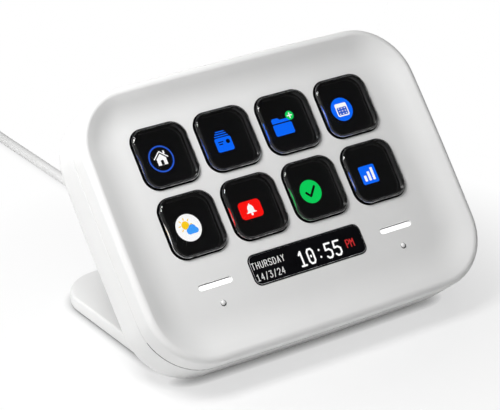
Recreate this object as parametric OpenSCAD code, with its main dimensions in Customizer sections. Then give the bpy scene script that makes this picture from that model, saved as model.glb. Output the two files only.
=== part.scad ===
// Desk keypad: eight clear sprung keys over one display, in a dished housing on a flat foot.
// The origin lies on the table, straight below the centre of the key grid. +X is right, +Y is back, +Z is up.

/* [Face] */
// Lean of the face back from upright, in degrees
lean = 40; // [30:1:50]
// Clearance between the housing's lower edge and the table
body_clear = 0.55; // [0.3:0.05:3]
// Width of the plain cheek on each side of the display
cheek_w = 13.05; // [12:0.05:20]
// Height of the plain brow above the display
brow_h = 9.45; // [8:0.05:14]
// Height of the plain chin below the information bar
chin_h = 16.6; // [14:0.1:20]
// Radius of the housing's corners, seen from the front
corner_r = 16; // [12:0.5:22]
// How far each side bows out at its middle
side_bow = 0.7; // [0:0.1:1.5]

/* [Housing] */
// Height of the rim above the deck
rim_h = 3.2; // [3:0.1:4]
// Radius of the round rim
rim_r = 1.5; // [1.2:0.1:1.8]
// Steepest part of the hollow slope between the rim and the deck, in degrees
dish_slope = 26; // [22:1:28]
// Radius of the curve that takes the slope down to the flat deck
dish_r = 18; // [14:1:20]
// How much narrower the slope is along the upper side
dish_lift = 1.8; // [0:0.1:2.4]
// Thickness of the moulded walls
wall = 2; // [1.6:0.1:2.4]
// Thickness of the flat deck that the keys come through
deck_t = 1.6; // [1.2:0.1:2]
// Depth of the parting line behind the deck
part_w = 3.5; // [3:0.1:4]
// Width of the groove along the parting line
part_gap = 0.1; // [0.05:0.05:0.2]
// Depth of the back face behind the deck
back_w = 15; // [14.2:0.1:18]
// Radius of the housing's rear edge
back_r = 3.2; // [1.5:0.1:3.6]
// Height of the tongue that locates one shell in the other
tongue_h = 1.4; // [1:0.1:1.5]

/* [Keys] */
// Number of key columns
key_cols = 4; // [4:1:4]
// Number of key rows
key_rows = 2; // [2:1:2]
// Width of a key cap
cap_w = 17.3; // [15:0.1:20]
// Space between two caps
key_space = 2.7; // [2.5:0.1:5]
// Corner radius of a key cap
cap_r = 4.2; // [3:0.1:5]
// How far a cap stands out of the deck
cap_rise = 1.3; // [0.8:0.1:2]
// Radius of a cap's upper edge
cap_edge = 1.1; // [0.4:0.1:1.2]
// Gap between a cap and the deck around it
cap_gap = 0.25; // [0.15:0.05:0.3]
// Width of the lip that keeps a cap in the housing
lip_w = 0.8; // [0.6:0.1:0.85]
// Thickness of that lip
lip_t = 0.7; // [0.5:0.1:0.9]
// Travel of a key
travel = 1.2; // [0.8:0.1:1.5]

/* [Information bar and lights] */
// Width of the information bar
info_w = 37.2; // [30:0.2:44]
// Height of the information bar
info_h = 8.8; // [6:0.2:9]
// Corner radius of the information bar
info_r = 2.2; // [1:0.1:3]
// Space between the keys' guide frame and the information bar
info_gap = 1.75; // [1.5:0.05:4]
// Length of a light bar
light_len = 10.6; // [8:0.2:12]
// Width of a light bar
light_w = 1.7; // [1.2:0.1:2.4]
// Depth of a light bar's face below the deck
light_sink = 0.4; // [0.1:0.1:0.8]
// Distance of each light bar from the middle
light_x = 30; // [29:0.5:32]
// Diameter of a touch point's raised dot
dot_d = 1.4; // [1:0.1:2]
// Height of that dot
dot_h = 0.6; // [0.3:0.05:0.65]
// Distance of the dots below the light bars
dot_drop = 5.5; // [4:0.1:6]

/* [Foot] */
// Width of the foot
foot_w = 90; // [80:1:96]
// Distance from the key grid's centre back to the foot's rear edge
foot_back = 44; // [38:1:56]
// Radius of the foot's rear corners
foot_r = 13; // [6:1:18]
// Height of the foot's upper face above the table
foot_top = 4.3; // [4.2:0.1:6]
// Gap between the moulded foot and the table
foot_gap = 0.6; // [0.4:0.1:0.8]
// Thickness of the rubber pad
pad_t = 1; // [0.9:0.1:1.4]
// Width of the rim left around the pad
pad_in = 3; // [2:0.5:6]
// Thickness of the steel ballast plate
ballast_t = 1.3; // [0.8:0.1:1.6]
// Radius of the bend between the foot and the back face
foot_fillet = 4; // [2:0.5:6]

/* [Inside] */
// Thickness of the display's glass
lcd_t = 1.4; // [1:0.1:1.6]
// Thickness of the backlight
backlight_t = 1.2; // [0.8:0.1:1.4]
// Thickness of the steel chassis plate
chassis_t = 0.8; // [0.6:0.1:1]
// Height of the chassis plate's standoffs
standoff_h = 1.4; // [1:0.1:1.6]
// Thickness of the main board
board_t = 1.2; // [0.8:0.1:1.4]
// Diameter of a case screw's shank
case_screw_d = 2.2; // [1.8:0.1:2.6]
// Diameter of a board screw's shank
board_screw_d = 1.6; // [1.4:0.1:2]

/* [Lead] */
// Diameter of the lead
lead_d = 3; // [2.8:0.1:3.2]
// Length of the strain relief outside the housing
relief_len = 13; // [10:0.5:15]
// Distance of the lead's outlet below the key grid's centre
lead_drop = 22; // [18:0.5:24]

/* [Hidden] */
$fn = 48;
CORNER_STEPS = 12;
SIDE_STEPS = 12;
CAP_STEPS = 7;
cut = 0.5;           // how far a cutter runs past the face that it opens

// ---- levels behind the deck's front face, from front to back ----
deck_under = -deck_t;
rim_w = rim_r * (1 + sin(dish_slope));
slope_top = rim_h - rim_r * (1 - cos(dish_slope));
slope_run = (slope_top - dish_r * (1 - cos(dish_slope))) / tan(dish_slope);
dish_in = rim_w + slope_run + dish_r * sin(dish_slope);
hollow_step = 0.6;
fit_gap = 0.1;       // clearance between parts that only locate each other
film_t = 0.15;
lip_top = deck_under - fit_gap;
cap_under = lip_top - lip_t;
film_front = cap_under - travel - 0.05;
lcd_front = film_front - film_t;
lcd_back = lcd_front - lcd_t;
backlight_back = lcd_back - backlight_t;
chassis_back = backlight_back - chassis_t;
board_front = chassis_back - standoff_h;
board_back = board_front - board_t;
inner_back = -back_w + wall;

// ---- plan sizes that follow from the keys ----
key_pitch = cap_w + key_space;
grid_w = (key_cols - 1) * key_pitch;
grid_h = (key_rows - 1) * key_pitch;
slot_w = cap_w + 2 * cap_gap;
slot_r = cap_r + cap_gap;
lip_out = cap_w + 2 * lip_w;
lip_r = cap_r + lip_w;
guide_w = lip_out + 2 * cap_gap;
guide_r = lip_r + cap_gap;
frame_rim = 0.95;
frame_w = grid_w + guide_w + 2 * frame_rim;
frame_h = grid_h + guide_w + 2 * frame_rim;
lcd_over = 0.9;
lcd_w = frame_w + 2 * lcd_over;
lcd_h = frame_h + 2 * lcd_over;
info_drop = frame_h / 2 + info_gap + info_h / 2;
body_top = lcd_h / 2 + brow_h;
body_low = info_drop + info_h / 2 + chin_h;
body_w = lcd_w + 2 * cheek_w;
body_h = body_top + body_low;
body_drop = (body_low - body_top) / 2;
face_z = body_clear + back_r + (body_low - back_r) * cos(lean) + (back_w - back_r) * sin(lean);
chassis_w = lcd_w + 2;
chassis_top = lcd_h / 2 + 1.5;
chassis_low = -info_drop - 7;
chassis_h = chassis_top - chassis_low;
chassis_mid = (chassis_top + chassis_low) / 2;

// ---- fixing points ----
wall_in = wall + 0.2;
tongue_in = wall / 2 + fit_gap;
screw_gap = 0.05;
light_end_r = light_w / 2 - 0.02;
LIGHT_AT = [[-light_x, -info_drop], [light_x, -info_drop]];
boss_r = 2.6;
case_boss_in = corner_r + side_bow - (corner_r - wall_in - boss_r - 0.3) * sin(45);
case_x = body_w / 2 - case_boss_in;
case_top = body_top - case_boss_in;
case_low = case_boss_in - body_low;
CASE_AT = [[case_x, case_top], [-case_x, case_top], [case_x, case_low], [-case_x, case_low]];
ear_boss_r = 2.4;
ear_gap = 3.45;
ear_x = lcd_w / 2 + ear_gap + ear_boss_r;
EAR_AT = [[ear_x, 5], [-ear_x, 5], [ear_x, -20], [-ear_x, -20]];
stand_x = chassis_w / 2 - 5;
STANDOFF_AT = [[stand_x, chassis_top - 5], [-stand_x, chassis_top - 5],
               [stand_x, chassis_low + 5], [-stand_x, chassis_low + 5]];
standoff_r = 2;
case_head_r = 2.1;
case_head_h = 1.4;
case_boss_end = -8;
board_head_r = 1.5;
board_head_h = 1;
case_seat = -back_w + case_head_h + 0.4;
case_screw_tip = case_boss_end + 5;
ballast_in = 2 * pad_in;
glass_r = 1.2;
lens_rise = 0.12;
lens_lip = 1.1;
lens_lip_t = 0.6;
info_back = deck_under - lens_lip_t - 1.4;
led_board_t = 0.8;
led_board_end = 1.5;
led_board_side = 2;
led_w = 2;
led_h = 1.4;
led_front = backlight_back + led_board_t + 0.6;
chip_w = 12;
chip_t = 1.2;
driver_w = 8;
driver_h = 6;
choke_w = 5;
choke_t = 2;
touch_w = 17;
touch_h = 15;
touch_t = 0.3;
flex_t = 0.2;
flex_w = 14;
info_flex_w = 8;
flex_y = -lcd_h / 2 - 0.7;
plug_d = 3;
plug_h = 1;
lcd_plug_y = flex_y - 3.5;
info_plug_y = chassis_low + 2.5;
board_w = chassis_w - 1;
board_top = chassis_top - 2;
board_low = chassis_low - 3;
board_h = board_top - board_low;
board_mid = (board_top + board_low) / 2;
foot_crease_y = (foot_top - face_z) * tan(lean) + back_w / cos(lean);

// ---- the lead and its outlet ----
lead_r = lead_d / 2;
relief_neck_r = 3;
relief_collar_r = 3.7;
relief_flange_r = 4.2;
relief_flange_t = 1.2;
header_t = -inner_back - relief_flange_t + board_back;
lead_out = face_point([0, -lead_drop, -back_w - relief_len]);
lead_dir = [0, cos(lean), -sin(lean)];
RUN = [
    lead_out, lead_out + 3 * lead_dir,
    [0, 13.5, 6.9], [0, 18, 5.9], [-0.3, 24, 5.8], [-1, 32, 5.8], [-1.8, 40, 5.8], [-2.4, 46, 5.6],
    [-2.8, 52, 4.6], [-3.1, 58, 2.9], [-3.3, 64, 1.8], [-3.5, 72, 1.5], [-3.5, 90, 1.5],
    [-3.5, 110, 1.5], [-3.5, 130, 1.5], [-3.5, 150, 1.5], [-3.5, 163, 1.8], [-3.5, 172, 2.1]
];
TAIL = [
    [-55, 172, 5.2], [-55, 166, 5], [-54.2, 160, 4.4], [-51.8, 154, 3.7], [-50.1, 148, 3.7],
    [-49.5, 143, 3.8], [-49.5, 139, 3.8]
];
coil_cols = 6;
coil_layers = 2;
coil_r = 18;
coil_pitch = 3.1;
coil_x = -29.2;
coil_y = 172;
coil_half = (coil_cols - 1) / 2 * coil_pitch + lead_r;
coil_t = (coil_layers - 1) * coil_pitch + lead_d;
tie_t = 0.6;
tie_w = 6;
plug_w = 16;
plug_len = 24;
plug_t = 7.6;
plug_r = 1.6;
neck_len = 7;
neck_r = 2.8;
shell_w = 12;
shell_len = 12;
shell_t = 4.5;
shell_wall = 0.3;

// Tells the number of a key from its column and row, counted from the top left
function key_at(i) = [
    ((i - 1) % key_cols - (key_cols - 1) / 2) * key_pitch,
    ((key_rows - 1) / 2 - floor((i - 1) / key_cols)) * key_pitch
];

// Places what follows on the leaning face: x across it, y up along it, z out of it
module on_face() {
    translate([0, 0, face_z]) rotate([90 - lean, 0, 0]) children();
}

// The row frame's point of a point on the leaning face
function face_point(p) = [
    p[0],
    p[1] * sin(lean) - p[2] * cos(lean),
    face_z + p[1] * cos(lean) + p[2] * sin(lean)
];

// A point of a rounded rectangle, pushed out so that each side bows by b
function bowed(p, w, h, b) = [
    p[0] + b * (1 - pow(2 * p[1] / h, 2)) * 2 * p[0] / w,
    p[1] + b * (1 - pow(2 * p[0] / w, 2)) * 2 * p[1] / h
];

// Outline of a rounded rectangle with bowed sides, counter-clockwise
function outline(w, h, r, b = 0, steps = CORNER_STEPS, side = 1) = [
    for (c = [0:3])
        let (sx = (c == 0 || c == 3) ? 1 : -1, sy = c < 2 ? 1 : -1,
             centre = [sx * (w / 2 - r), sy * (h / 2 - r)],
             a1 = 90 * (c + 1),
             last = centre + r * [cos(a1), sin(a1)],
             next = (c % 2 == 0) ? [-last[0], last[1]] : [last[0], -last[1]])
        each concat(
            [for (i = [0:steps])
                let (a = 90 * c + 90 * i / steps)
                bowed(centre + r * [cos(a), sin(a)], w, h, b)],
            [for (k = [1:1:side - 1]) bowed(last + (next - last) * k / side, w, h, b)]
        )
];

// A closed solid through a stack of outlines that all have the same number of points
module loft(rings) {
    n = len(rings[0]);
    m = len(rings);
    points = [for (ring = rings) each ring];
    walls = [for (j = [0:m - 2]) for (i = [0:n - 1])
        let (a = j * n + i, b = j * n + (i + 1) % n)
        each [[a, a + n, b + n], [a, b + n, b]]];
    ends = [[for (i = [0:n - 1]) i], [for (i = [n - 1:-1:0]) (m - 1) * n + i]];
    polyhedron(points, concat(walls, ends), convexity = 8);
}

// Outline of the housing, drawn in by a distance and less by a lift at the top, in the plane of the face
function body_outline(inset, lift = 0) = [
    for (p = outline(body_w - 2 * inset - 2 * side_bow, body_h - 2 * inset - 2 * side_bow + lift,
                     corner_r - inset, side_bow, CORNER_STEPS, SIDE_STEPS))
        [p[0], p[1] - body_drop + lift / 2]
];

// One ring of the housing at a fixed depth
function body_ring(inset, depth, lift = 0) = [
    for (p = body_outline(inset, lift)) [p[0], p[1], depth]
];

// One ring of the round rim, at an angle from 0 on the outside
function rim_ring(angle) = body_ring(rim_r * (1 - cos(angle)), rim_h - rim_r * (1 - sin(angle)));

// One ring of the hollow slope's curve, where it leans by an angle
function dish_ring(angle, under = 0) =
    let (inset = dish_in - dish_r * sin(angle))
    body_ring(inset, dish_r * (1 - cos(angle)) - under, dish_lift * (inset - rim_w) / (dish_in - rim_w));

// A rounded bar or plate that stands from z0 to z1
module plate(w, h, r, z0, z1) {
    translate([0, 0, z0]) linear_extrude(z1 - z0) rounded(w, h, r);
}

// A rounded rectangle with true arcs at its corners
module rounded(w, h, r) {
    square([w - 2 * r, h], center = true);
    square([w, h - 2 * r], center = true);
    for (x = [-1, 1]) for (y = [-1, 1])
        translate([x * (w / 2 - r), y * (h / 2 - r)]) circle(r);
}

// A round bar from z0 up to z1
module rod(r, z0, z1) {
    translate([0, 0, z0]) cylinder(r = r, h = z1 - z0);
}

module at(points) {
    for (p = points) translate([p[0], p[1], 0]) children();
}

// ---- housing ----

// The front shell's outer form: straight sides, round rim, hollow slope and flat deck
module front_form() {
    loft([
        body_ring(part_gap * 1.5, -part_w),
        body_ring(0, -part_w + part_gap * 1.5),
        for (i = [0:5]) rim_ring((90 + dish_slope) * i / 5),
        for (i = [0:6]) dish_ring(dish_slope * (1 - i / 6))
    ]);
}

// The hollow inside the front shell, which follows the slope so that the wall stays even
module front_hollow() {
    under = deck_t;
    loft([
        body_ring(wall_in, -part_w - cut),
        body_ring(wall_in, deck_under),
        body_ring(rim_w + hollow_step, slope_top - hollow_step * tan(dish_slope) - under),
        for (i = [0:2]) dish_ring(dish_slope * (1 - i / 2), under)
    ]);
}

module front_shell() {
    color("whitesmoke") on_face() {
        difference() {
            union() {
                front_form();
                at(CASE_AT) rod(boss_r, case_boss_end, -part_w);
                at(EAR_AT) rod(ear_boss_r, backlight_back, -part_w);
            }
            difference() {
                front_hollow();
                at(CASE_AT) rod(boss_r, -part_w - 2 * cut, rim_h);
                at(EAR_AT) rod(ear_boss_r, -part_w - 2 * cut, rim_h);
            }
            translate([0, 0, -part_w - cut]) linear_extrude(tongue_h + fit_gap + cut) difference() {
                polygon(body_outline(tongue_in - fit_gap));
                polygon(body_outline(wall_in + fit_gap));
            }
            for (i = [1:key_cols * key_rows]) at([key_at(i)])
                plate(slot_w, slot_w, slot_r, -deck_t - cut, rim_h);
            translate([0, -info_drop, 0])
                plate(info_w + fit_gap, info_h + fit_gap, info_r, -deck_t - cut, cut);
            at(LIGHT_AT) plate(light_len + fit_gap, light_w + fit_gap, light_end_r, -deck_t - cut, cut);
            at(CASE_AT) rod(case_screw_d / 2 + screw_gap, case_boss_end - cut, deck_under);
            at(EAR_AT) rod(board_screw_d / 2 + screw_gap, backlight_back - cut, deck_under);
        }
        at(LIGHT_AT) translate([0, -dot_drop, 0]) touch_dot();
    }
}

// A small raised dot, as a cap cut from a ball and sunk into the deck
module touch_dot() {
    ball_r = (dot_d * dot_d / 4 + dot_h * dot_h) / (2 * dot_h);
    intersection() {
        translate([0, 0, dot_h - ball_r]) sphere(ball_r, $fn = 32);
        rod(dot_d / 2, -deck_t / 2, dot_h + cut);
    }
}

// Outline of the foot, drawn in by a distance, from above
foot_front = face_point([0, back_r - body_low, -back_w])[1] - 0.7;
foot_len = foot_back - foot_front;
function foot_ring(inset, z) = [
    for (p = outline(foot_w - 2 * inset, foot_len - 2 * inset, foot_r - inset))
        [p[0], (foot_front + foot_back) / 2 + p[1], z]
];

module foot_plan(inset) {
    translate([0, (foot_front + foot_back) / 2]) rounded(
        foot_w - 2 * inset, foot_len - 2 * inset, foot_r - inset);
}

module foot_form() {
    edge = 1;
    loft([
        foot_ring(edge / 2, foot_gap),
        foot_ring(edge * 0.15, foot_gap + edge * 0.15),
        foot_ring(0, foot_gap + edge / 2),
        foot_ring(0, foot_top - edge),
        foot_ring(edge * (1 - cos(30)), foot_top - edge * (1 - sin(30))),
        foot_ring(edge * (1 - cos(60)), foot_top - edge * (1 - sin(60))),
        foot_ring(edge, foot_top)
    ]);
}

module rear_form() {
    loft([
        body_ring(back_r, -back_w),
        for (angle = [65, 42, 20]) body_ring(
            back_r * (1 - cos(angle)), -back_w + back_r * (1 - sin(angle))),
        body_ring(0, -back_w + back_r),
        body_ring(0, -part_w - part_gap * 2.5),
        body_ring(part_gap * 1.5, -part_w - part_gap)
    ]);
}

module rear_shell() {
    color("whitesmoke") difference() {
        union() {
            on_face() rear_form();
            foot_form();
            foot_bend();
            on_face() translate([0, 0, -part_w - cut])
                linear_extrude(tongue_h + cut) polygon(body_outline(tongue_in));
        }
        on_face() difference() {
            translate([0, 0, inner_back]) linear_extrude(-inner_back) polygon(body_outline(wall_in));
            at(CASE_AT) rod(boss_r, inner_back - cut, case_boss_end - fit_gap);
        }
        on_face() at(CASE_AT) {
            rod(case_screw_d / 2 + fit_gap, -back_w - cut, case_boss_end);
            rod(case_head_r + fit_gap, -back_w - cut, case_seat);
        }
        on_face() translate([0, -lead_drop, 0])
            rod(relief_neck_r + screw_gap, -back_w - cut, inner_back + cut);
        translate([0, 0, foot_gap - cut]) linear_extrude(pad_t - foot_gap + cut) foot_plan(pad_in);
        translate([0, 0, pad_t - cut]) linear_extrude(ballast_t + cut) foot_plan(ballast_in);
    }
}

// The round bend that carries the foot's upper face into the back face
module foot_bend() {
    half = 45 - lean / 2;
    lean_y = foot_crease_y;
    reach = foot_fillet / tan(half);
    span = foot_w - 2 * foot_r;
    difference() {
        translate([-span / 2, 0, 0]) rotate([90, 0, 90]) linear_extrude(span) polygon([
            [lean_y - 0.5, foot_top - 0.5], [lean_y + reach, foot_top - 0.5],
            [lean_y + reach, foot_top],
            [lean_y + reach * sin(lean), foot_top + reach * cos(lean)],
            [lean_y + reach * sin(lean) - 0.5, foot_top + reach * cos(lean)]
        ]);
        translate([-span, lean_y + reach, foot_top + foot_fillet]) rotate([0, 90, 0])
            cylinder(r = foot_fillet, h = 2 * span);
    }
}

module foot_pad() {
    color("dimgray") linear_extrude(pad_t) foot_plan(pad_in + fit_gap);
}

module ballast_plate() {
    color("silver") translate([0, 0, pad_t]) linear_extrude(ballast_t) foot_plan(ballast_in + fit_gap);
}

// A pan-head screw from its head's seat, its head towards the back
module screw(d, head_r, head_h, seat, tip) {
    rod(d / 2, seat, tip);
    difference() {
        rod(head_r, seat - head_h, seat);
        for (a = [0, 90]) rotate(a) translate([0, 0, seat - head_h])
            cube([head_r * 1.2, head_r * 0.3, head_h], center = true);
    }
}

module case_screws() {
    color("silver") on_face() at(CASE_AT)
        screw(case_screw_d, case_head_r, case_head_h, case_seat, case_screw_tip);
}

module chassis_screws() {
    color("silver") on_face() at(EAR_AT)
        screw(board_screw_d, board_head_r, board_head_h, chassis_back, backlight_back + 3);
}

module board_screws() {
    color("silver") on_face() at(STANDOFF_AT)
        screw(board_screw_d, board_head_r, board_head_h, board_back, chassis_back - fit_gap);
}

// ---- keys ----

// One ring of a key's outline
function key_ring(w, r, z) = [for (p = outline(w, w, r, 0, CAP_STEPS)) [p[0], p[1], z]];

module key_cap(i) {
    color("lightcyan") on_face() at([key_at(i)]) loft([
        key_ring(lip_out, lip_r, cap_under),
        key_ring(lip_out, lip_r, lip_top),
        key_ring(cap_w, cap_r, lip_top),
        for (a = [0, 22, 45, 68, 90]) key_ring(
            cap_w - 2 * cap_edge * (1 - cos(a)), cap_r - cap_edge * (1 - cos(a)),
            cap_rise - cap_edge * (1 - sin(a)))
    ]);
}

// The silicone ring that lifts a cap back up
module key_spring(i) {
    color("gainsboro") on_face() at([key_at(i)]) difference() {
        plate(lip_out - fit_gap, lip_out - fit_gap, lip_r, film_front, cap_under);
        plate(cap_w - lip_w / 2, cap_w - lip_w / 2, cap_r, film_front - cut, cap_under + cut);
    }
}

module key_cap_1() { key_cap(1); }
module key_cap_2() { key_cap(2); }
module key_cap_3() { key_cap(3); }
module key_cap_4() { key_cap(4); }
module key_cap_5() { key_cap(5); }
module key_cap_6() { key_cap(6); }
module key_cap_7() { key_cap(7); }
module key_cap_8() { key_cap(8); }
module key_spring_1() { key_spring(1); }
module key_spring_2() { key_spring(2); }
module key_spring_3() { key_spring(3); }
module key_spring_4() { key_spring(4); }
module key_spring_5() { key_spring(5); }
module key_spring_6() { key_spring(6); }
module key_spring_7() { key_spring(7); }
module key_spring_8() { key_spring(8); }

module key_frame() {
    color("#151515") on_face() difference() {
        plate(frame_w, frame_h, guide_r, film_front, deck_under);
        for (i = [1:key_cols * key_rows]) at([key_at(i)])
            plate(guide_w, guide_w, guide_r, film_front - cut, deck_under + cut);
    }
}

module contact_film() {
    color("#3a2f18") on_face() difference() {
        plate(frame_w, frame_h, guide_r, lcd_front, film_front);
        for (i = [1:key_cols * key_rows]) at([key_at(i)])
            plate(cap_w - 2 * lip_w, cap_w - 2 * lip_w, cap_r, lcd_front - cut, film_front + cut);
    }
}

module lcd_panel() {
    color("#0c0d10") on_face() plate(lcd_w, lcd_h, glass_r, lcd_back, lcd_front);
}

module backlight() {
    color("white") on_face() plate(lcd_w - 1, lcd_h - 1, glass_r, backlight_back, lcd_back);
}

// ---- inside ----

module chassis_plate() {
    color("silver") on_face() difference() {
        union() {
            translate([0, chassis_mid, 0])
                plate(chassis_w, chassis_h, glass_r, chassis_back, backlight_back);
            for (p = EAR_AT) translate([p[0] / 2, p[1], 0])
                plate(abs(p[0]) + 2 * ear_boss_r, 2 * ear_boss_r, ear_boss_r - 0.02,
                      chassis_back, backlight_back);
            at(STANDOFF_AT) rod(standoff_r, board_front, chassis_back);
        }
        at(EAR_AT) rod(board_screw_d / 2 + fit_gap, chassis_back - cut, backlight_back + cut);
        at(CASE_AT) rod(boss_r + fit_gap, chassis_back - cut, backlight_back + cut);
        at(STANDOFF_AT) rod(board_screw_d / 2 + screw_gap, board_front - cut, chassis_back);
        translate([0, flex_y, 0])
            plate(flex_w + 2, 5 * flex_t, flex_t, chassis_back - cut, backlight_back + cut);
    }
}

module main_board() {
    color("darkgreen") on_face() difference() {
        translate([0, board_mid, 0]) plate(board_w, board_h, glass_r, board_back, board_front);
        at(STANDOFF_AT) rod(board_screw_d / 2 + fit_gap, board_back - cut, board_front + cut);
    }
}

// A block that stands on the board from its centre
module chip(x, y, w, h, z0, z1) {
    translate([x - w / 2, y - h / 2, z0]) cube([w, h, z1 - z0]);
}

module board_components() {
    color("#202226") on_face() {
        at([[-chip_w, chip_w / 2], [2 * chip_w, 0]])
            chip(0, 0, chip_w, chip_w, board_back - chip_t, board_back);
        at([[chip_w, chip_w], [-2 * chip_w, -chip_w]])
            chip(0, 0, driver_w, driver_h, board_back - chip_t, board_back);
        at([[chip_w, 0], [chip_w, -chip_w]])
            chip(0, 0, choke_w, choke_w, board_back - choke_t, board_back);
        for (k = [0:4]) at([[-chip_w - k * choke_w, -lead_drop]])
            chip(0, 0, led_w, led_h, board_back - chip_t, board_back);
        chip(0, lcd_plug_y, flex_w + 2, plug_d, board_front, board_front + plug_h);
        chip(0, info_plug_y, info_flex_w + 2, plug_d, board_front, board_front + plug_h);
    }
}

// The ribbon that turns round an edge on its way back to the board
module ribbon(w, start, turn_y, z0, plug_face) {
    z1 = board_front + plug_h / 2;
    translate([-w / 2, 0, 0]) rotate([90, 0, 90]) linear_extrude(w) {
        strip(turn_y - flex_t, start, z0 - flex_t, z0);
        strip(turn_y - flex_t, turn_y, z1, z0);
        strip(min(turn_y - flex_t, plug_face), max(turn_y, plug_face), z1, z1 + flex_t);
    }
}

module strip(x0, x1, y0, y1) {
    translate([x0, y0]) square([x1 - x0, y1 - y0]);
}

module lcd_flex() {
    color("peru") on_face()
        ribbon(flex_w, -lcd_h / 2, flex_y, lcd_back + lcd_t / 2, lcd_plug_y + plug_d / 2);
}

module lead_header() {
    color("ivory") on_face()
        chip(0, -lead_drop, driver_w, driver_h, board_back - header_t, board_back);
}

// ---- information bar, lights and touch points ----

module info_lens() {
    color("#101114") on_face() translate([0, -info_drop, 0]) {
        plate(info_w - fit_gap, info_h - fit_gap, info_r - fit_gap, deck_under, lens_rise);
        plate(info_w + 2 * lens_lip, info_h + 2 * lens_lip, info_r + lens_lip,
              deck_under - lens_lip_t, deck_under);
    }
}

module info_display() {
    color("#08080a") on_face() translate([0, -info_drop, 0])
        plate(info_w + 2, info_h + 2.4, 0.6, info_back, deck_under - lens_lip_t);
}

module info_cushion() {
    color("#2b2b2b") on_face() translate([0, -info_drop, 0])
        plate(info_w - 7, info_h - 1.2, 0.8, backlight_back, info_back);
}

module info_flex() {
    color("peru") on_face()
        ribbon(info_flex_w, -info_drop - info_h / 2 - 1.2, chassis_low - 0.8,
               info_back + flex_t + 0.3, info_plug_y - plug_d / 2);
}

module light_pipe(side) {
    color("white") on_face() translate([side * light_x, -info_drop, 0]) {
        plate(light_len, light_w, light_end_r, deck_under, -light_sink);
        plate(light_len + 2, light_w + 2, light_end_r + 1, deck_under - lens_lip_t, deck_under);
        plate(light_len, light_w + 1, light_end_r, led_front, deck_under - lens_lip_t);
    }
}

module light_pipe_left() { light_pipe(-1); }
module light_pipe_right() { light_pipe(1); }

// The sensing foil behind a touch point, with a slot for the light bar
module touch_pad(side) {
    color("goldenrod") on_face() translate([side * light_x, -info_drop - dot_drop / 2, 0]) difference() {
        plate(touch_w, touch_h, 1.5, deck_under - touch_t, deck_under);
        translate([0, dot_drop / 2, 0])
            plate(light_len + 2.4, light_w + 2.4, light_end_r + 1.2, deck_under - touch_t - cut,
                  deck_under + cut);
    }
}

module touch_pad_left() { touch_pad(-1); }
module touch_pad_right() { touch_pad(1); }

module led_boards() {
    color("darkgreen") on_face() at(LIGHT_AT)
        plate(light_len + 2 * led_board_end, light_w + 2 * led_board_side, led_board_t,
              backlight_back, backlight_back + led_board_t);
}

module status_leds() {
    color("lightyellow") on_face() at(LIGHT_AT) for (x = [-1, 0, 1])
        chip(x * light_len / 3.4, 0, led_w, led_h, backlight_back + led_board_t, led_front);
}

// ---- lead ----

module strain_relief() {
    color("whitesmoke") on_face() translate([0, -lead_drop, -back_w]) rotate_extrude() polygon([
        [0, wall + relief_flange_t], [relief_flange_r, wall + relief_flange_t],
        [relief_flange_r, wall], [relief_neck_r, wall], [relief_neck_r, 0],
        [relief_collar_r, 0], [relief_collar_r, -1],
        for (k = [0:relief_ribs - 1]) each [
            [relief_at(k), relief_depth(k)], [relief_at(k), relief_depth(k + 0.5)],
            [relief_at(k + 0.5) - 0.45, relief_depth(k + 0.55)],
            [relief_at(k + 0.5) - 0.45, relief_depth(k + 0.95)]
        ],
        [relief_at(relief_ribs), relief_depth(relief_ribs)],
        [lead_r + 0.35, -relief_len], [0, -relief_len]
    ]);
}

relief_ribs = 4;
function relief_depth(k) = -1.2 - (relief_len - 3) * k / relief_ribs;
function relief_at(k) = relief_collar_r - 0.3 - (relief_collar_r - lead_r - 0.8) * k / relief_ribs;

// A point between b and c on the smooth curve through four points
function between(a, b, c, d, t) = 0.5 * (2 * b + (c - a) * t
    + (2 * a - 5 * b + 4 * c - d) * t * t + (3 * b - a - 3 * c + d) * t * t * t);

// The smooth curve through a route's points, with some steps to each stretch
function smooth(route, steps) = let (n = len(route)) concat(
    [for (i = [0:n - 2]) for (k = [0:steps - 1]) between(
        route[max(i - 1, 0)], route[i], route[i + 1], route[min(i + 2, n - 1)], k / steps)],
    [route[n - 1]]);

function unit(v) = v / norm(v);

// One ring of a tube round a point, square to the direction that it runs in
function tube_ring(p, dir, r, sides) =
    let (x = unit(cross(dir, [0, 0, 1])), y = cross(x, unit(dir)))
    [for (k = [0:sides - 1]) p + r * (cos(360 * k / sides) * x + sin(360 * k / sides) * y)];

module tube(route, r, sides = 8) {
    n = len(route);
    loft([for (i = [0:n - 1])
        tube_ring(route[i], route[min(i + 1, n - 1)] - route[max(i - 1, 0)], r, sides)]);
}

module usb_cable_run() {
    color("white") {
        tube(smooth(RUN, 2), lead_r);
        tube(smooth(TAIL, 1), lead_r);
    }
}

module usb_cable_coil() {
    color("white") translate([coil_x, coil_y, tie_t]) rotate_extrude()
        translate([coil_r - coil_half, 0]) square([2 * coil_half, coil_t]);
}

// Two flat straps that hold the turns together
module coil_ties() {
    inner = sqrt(pow(coil_r - coil_half, 2) - pow(tie_w / 2, 2)) - fit_gap;
    outer = coil_r + coil_half + fit_gap;
    color("white") translate([coil_x, coil_y, 0]) for (side = [0, 180]) rotate(side)
        translate([tie_w / 2, 0, 0]) rotate([90, 0, -90]) linear_extrude(tie_w) difference() {
            translate([-outer - tie_t, 0]) square([outer - inner + 2 * tie_t, coil_t + 2 * tie_t]);
            translate([-outer, tie_t]) square([outer - inner, coil_t]);
        }
}

plug_at = TAIL[len(TAIL) - 1];

module usb_plug_grip() {
    color("white") translate([plug_at[0], plug_at[1] - plug_len, plug_at[2]]) rotate([-90, 0, 0])
        plug_grip();
}

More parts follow.
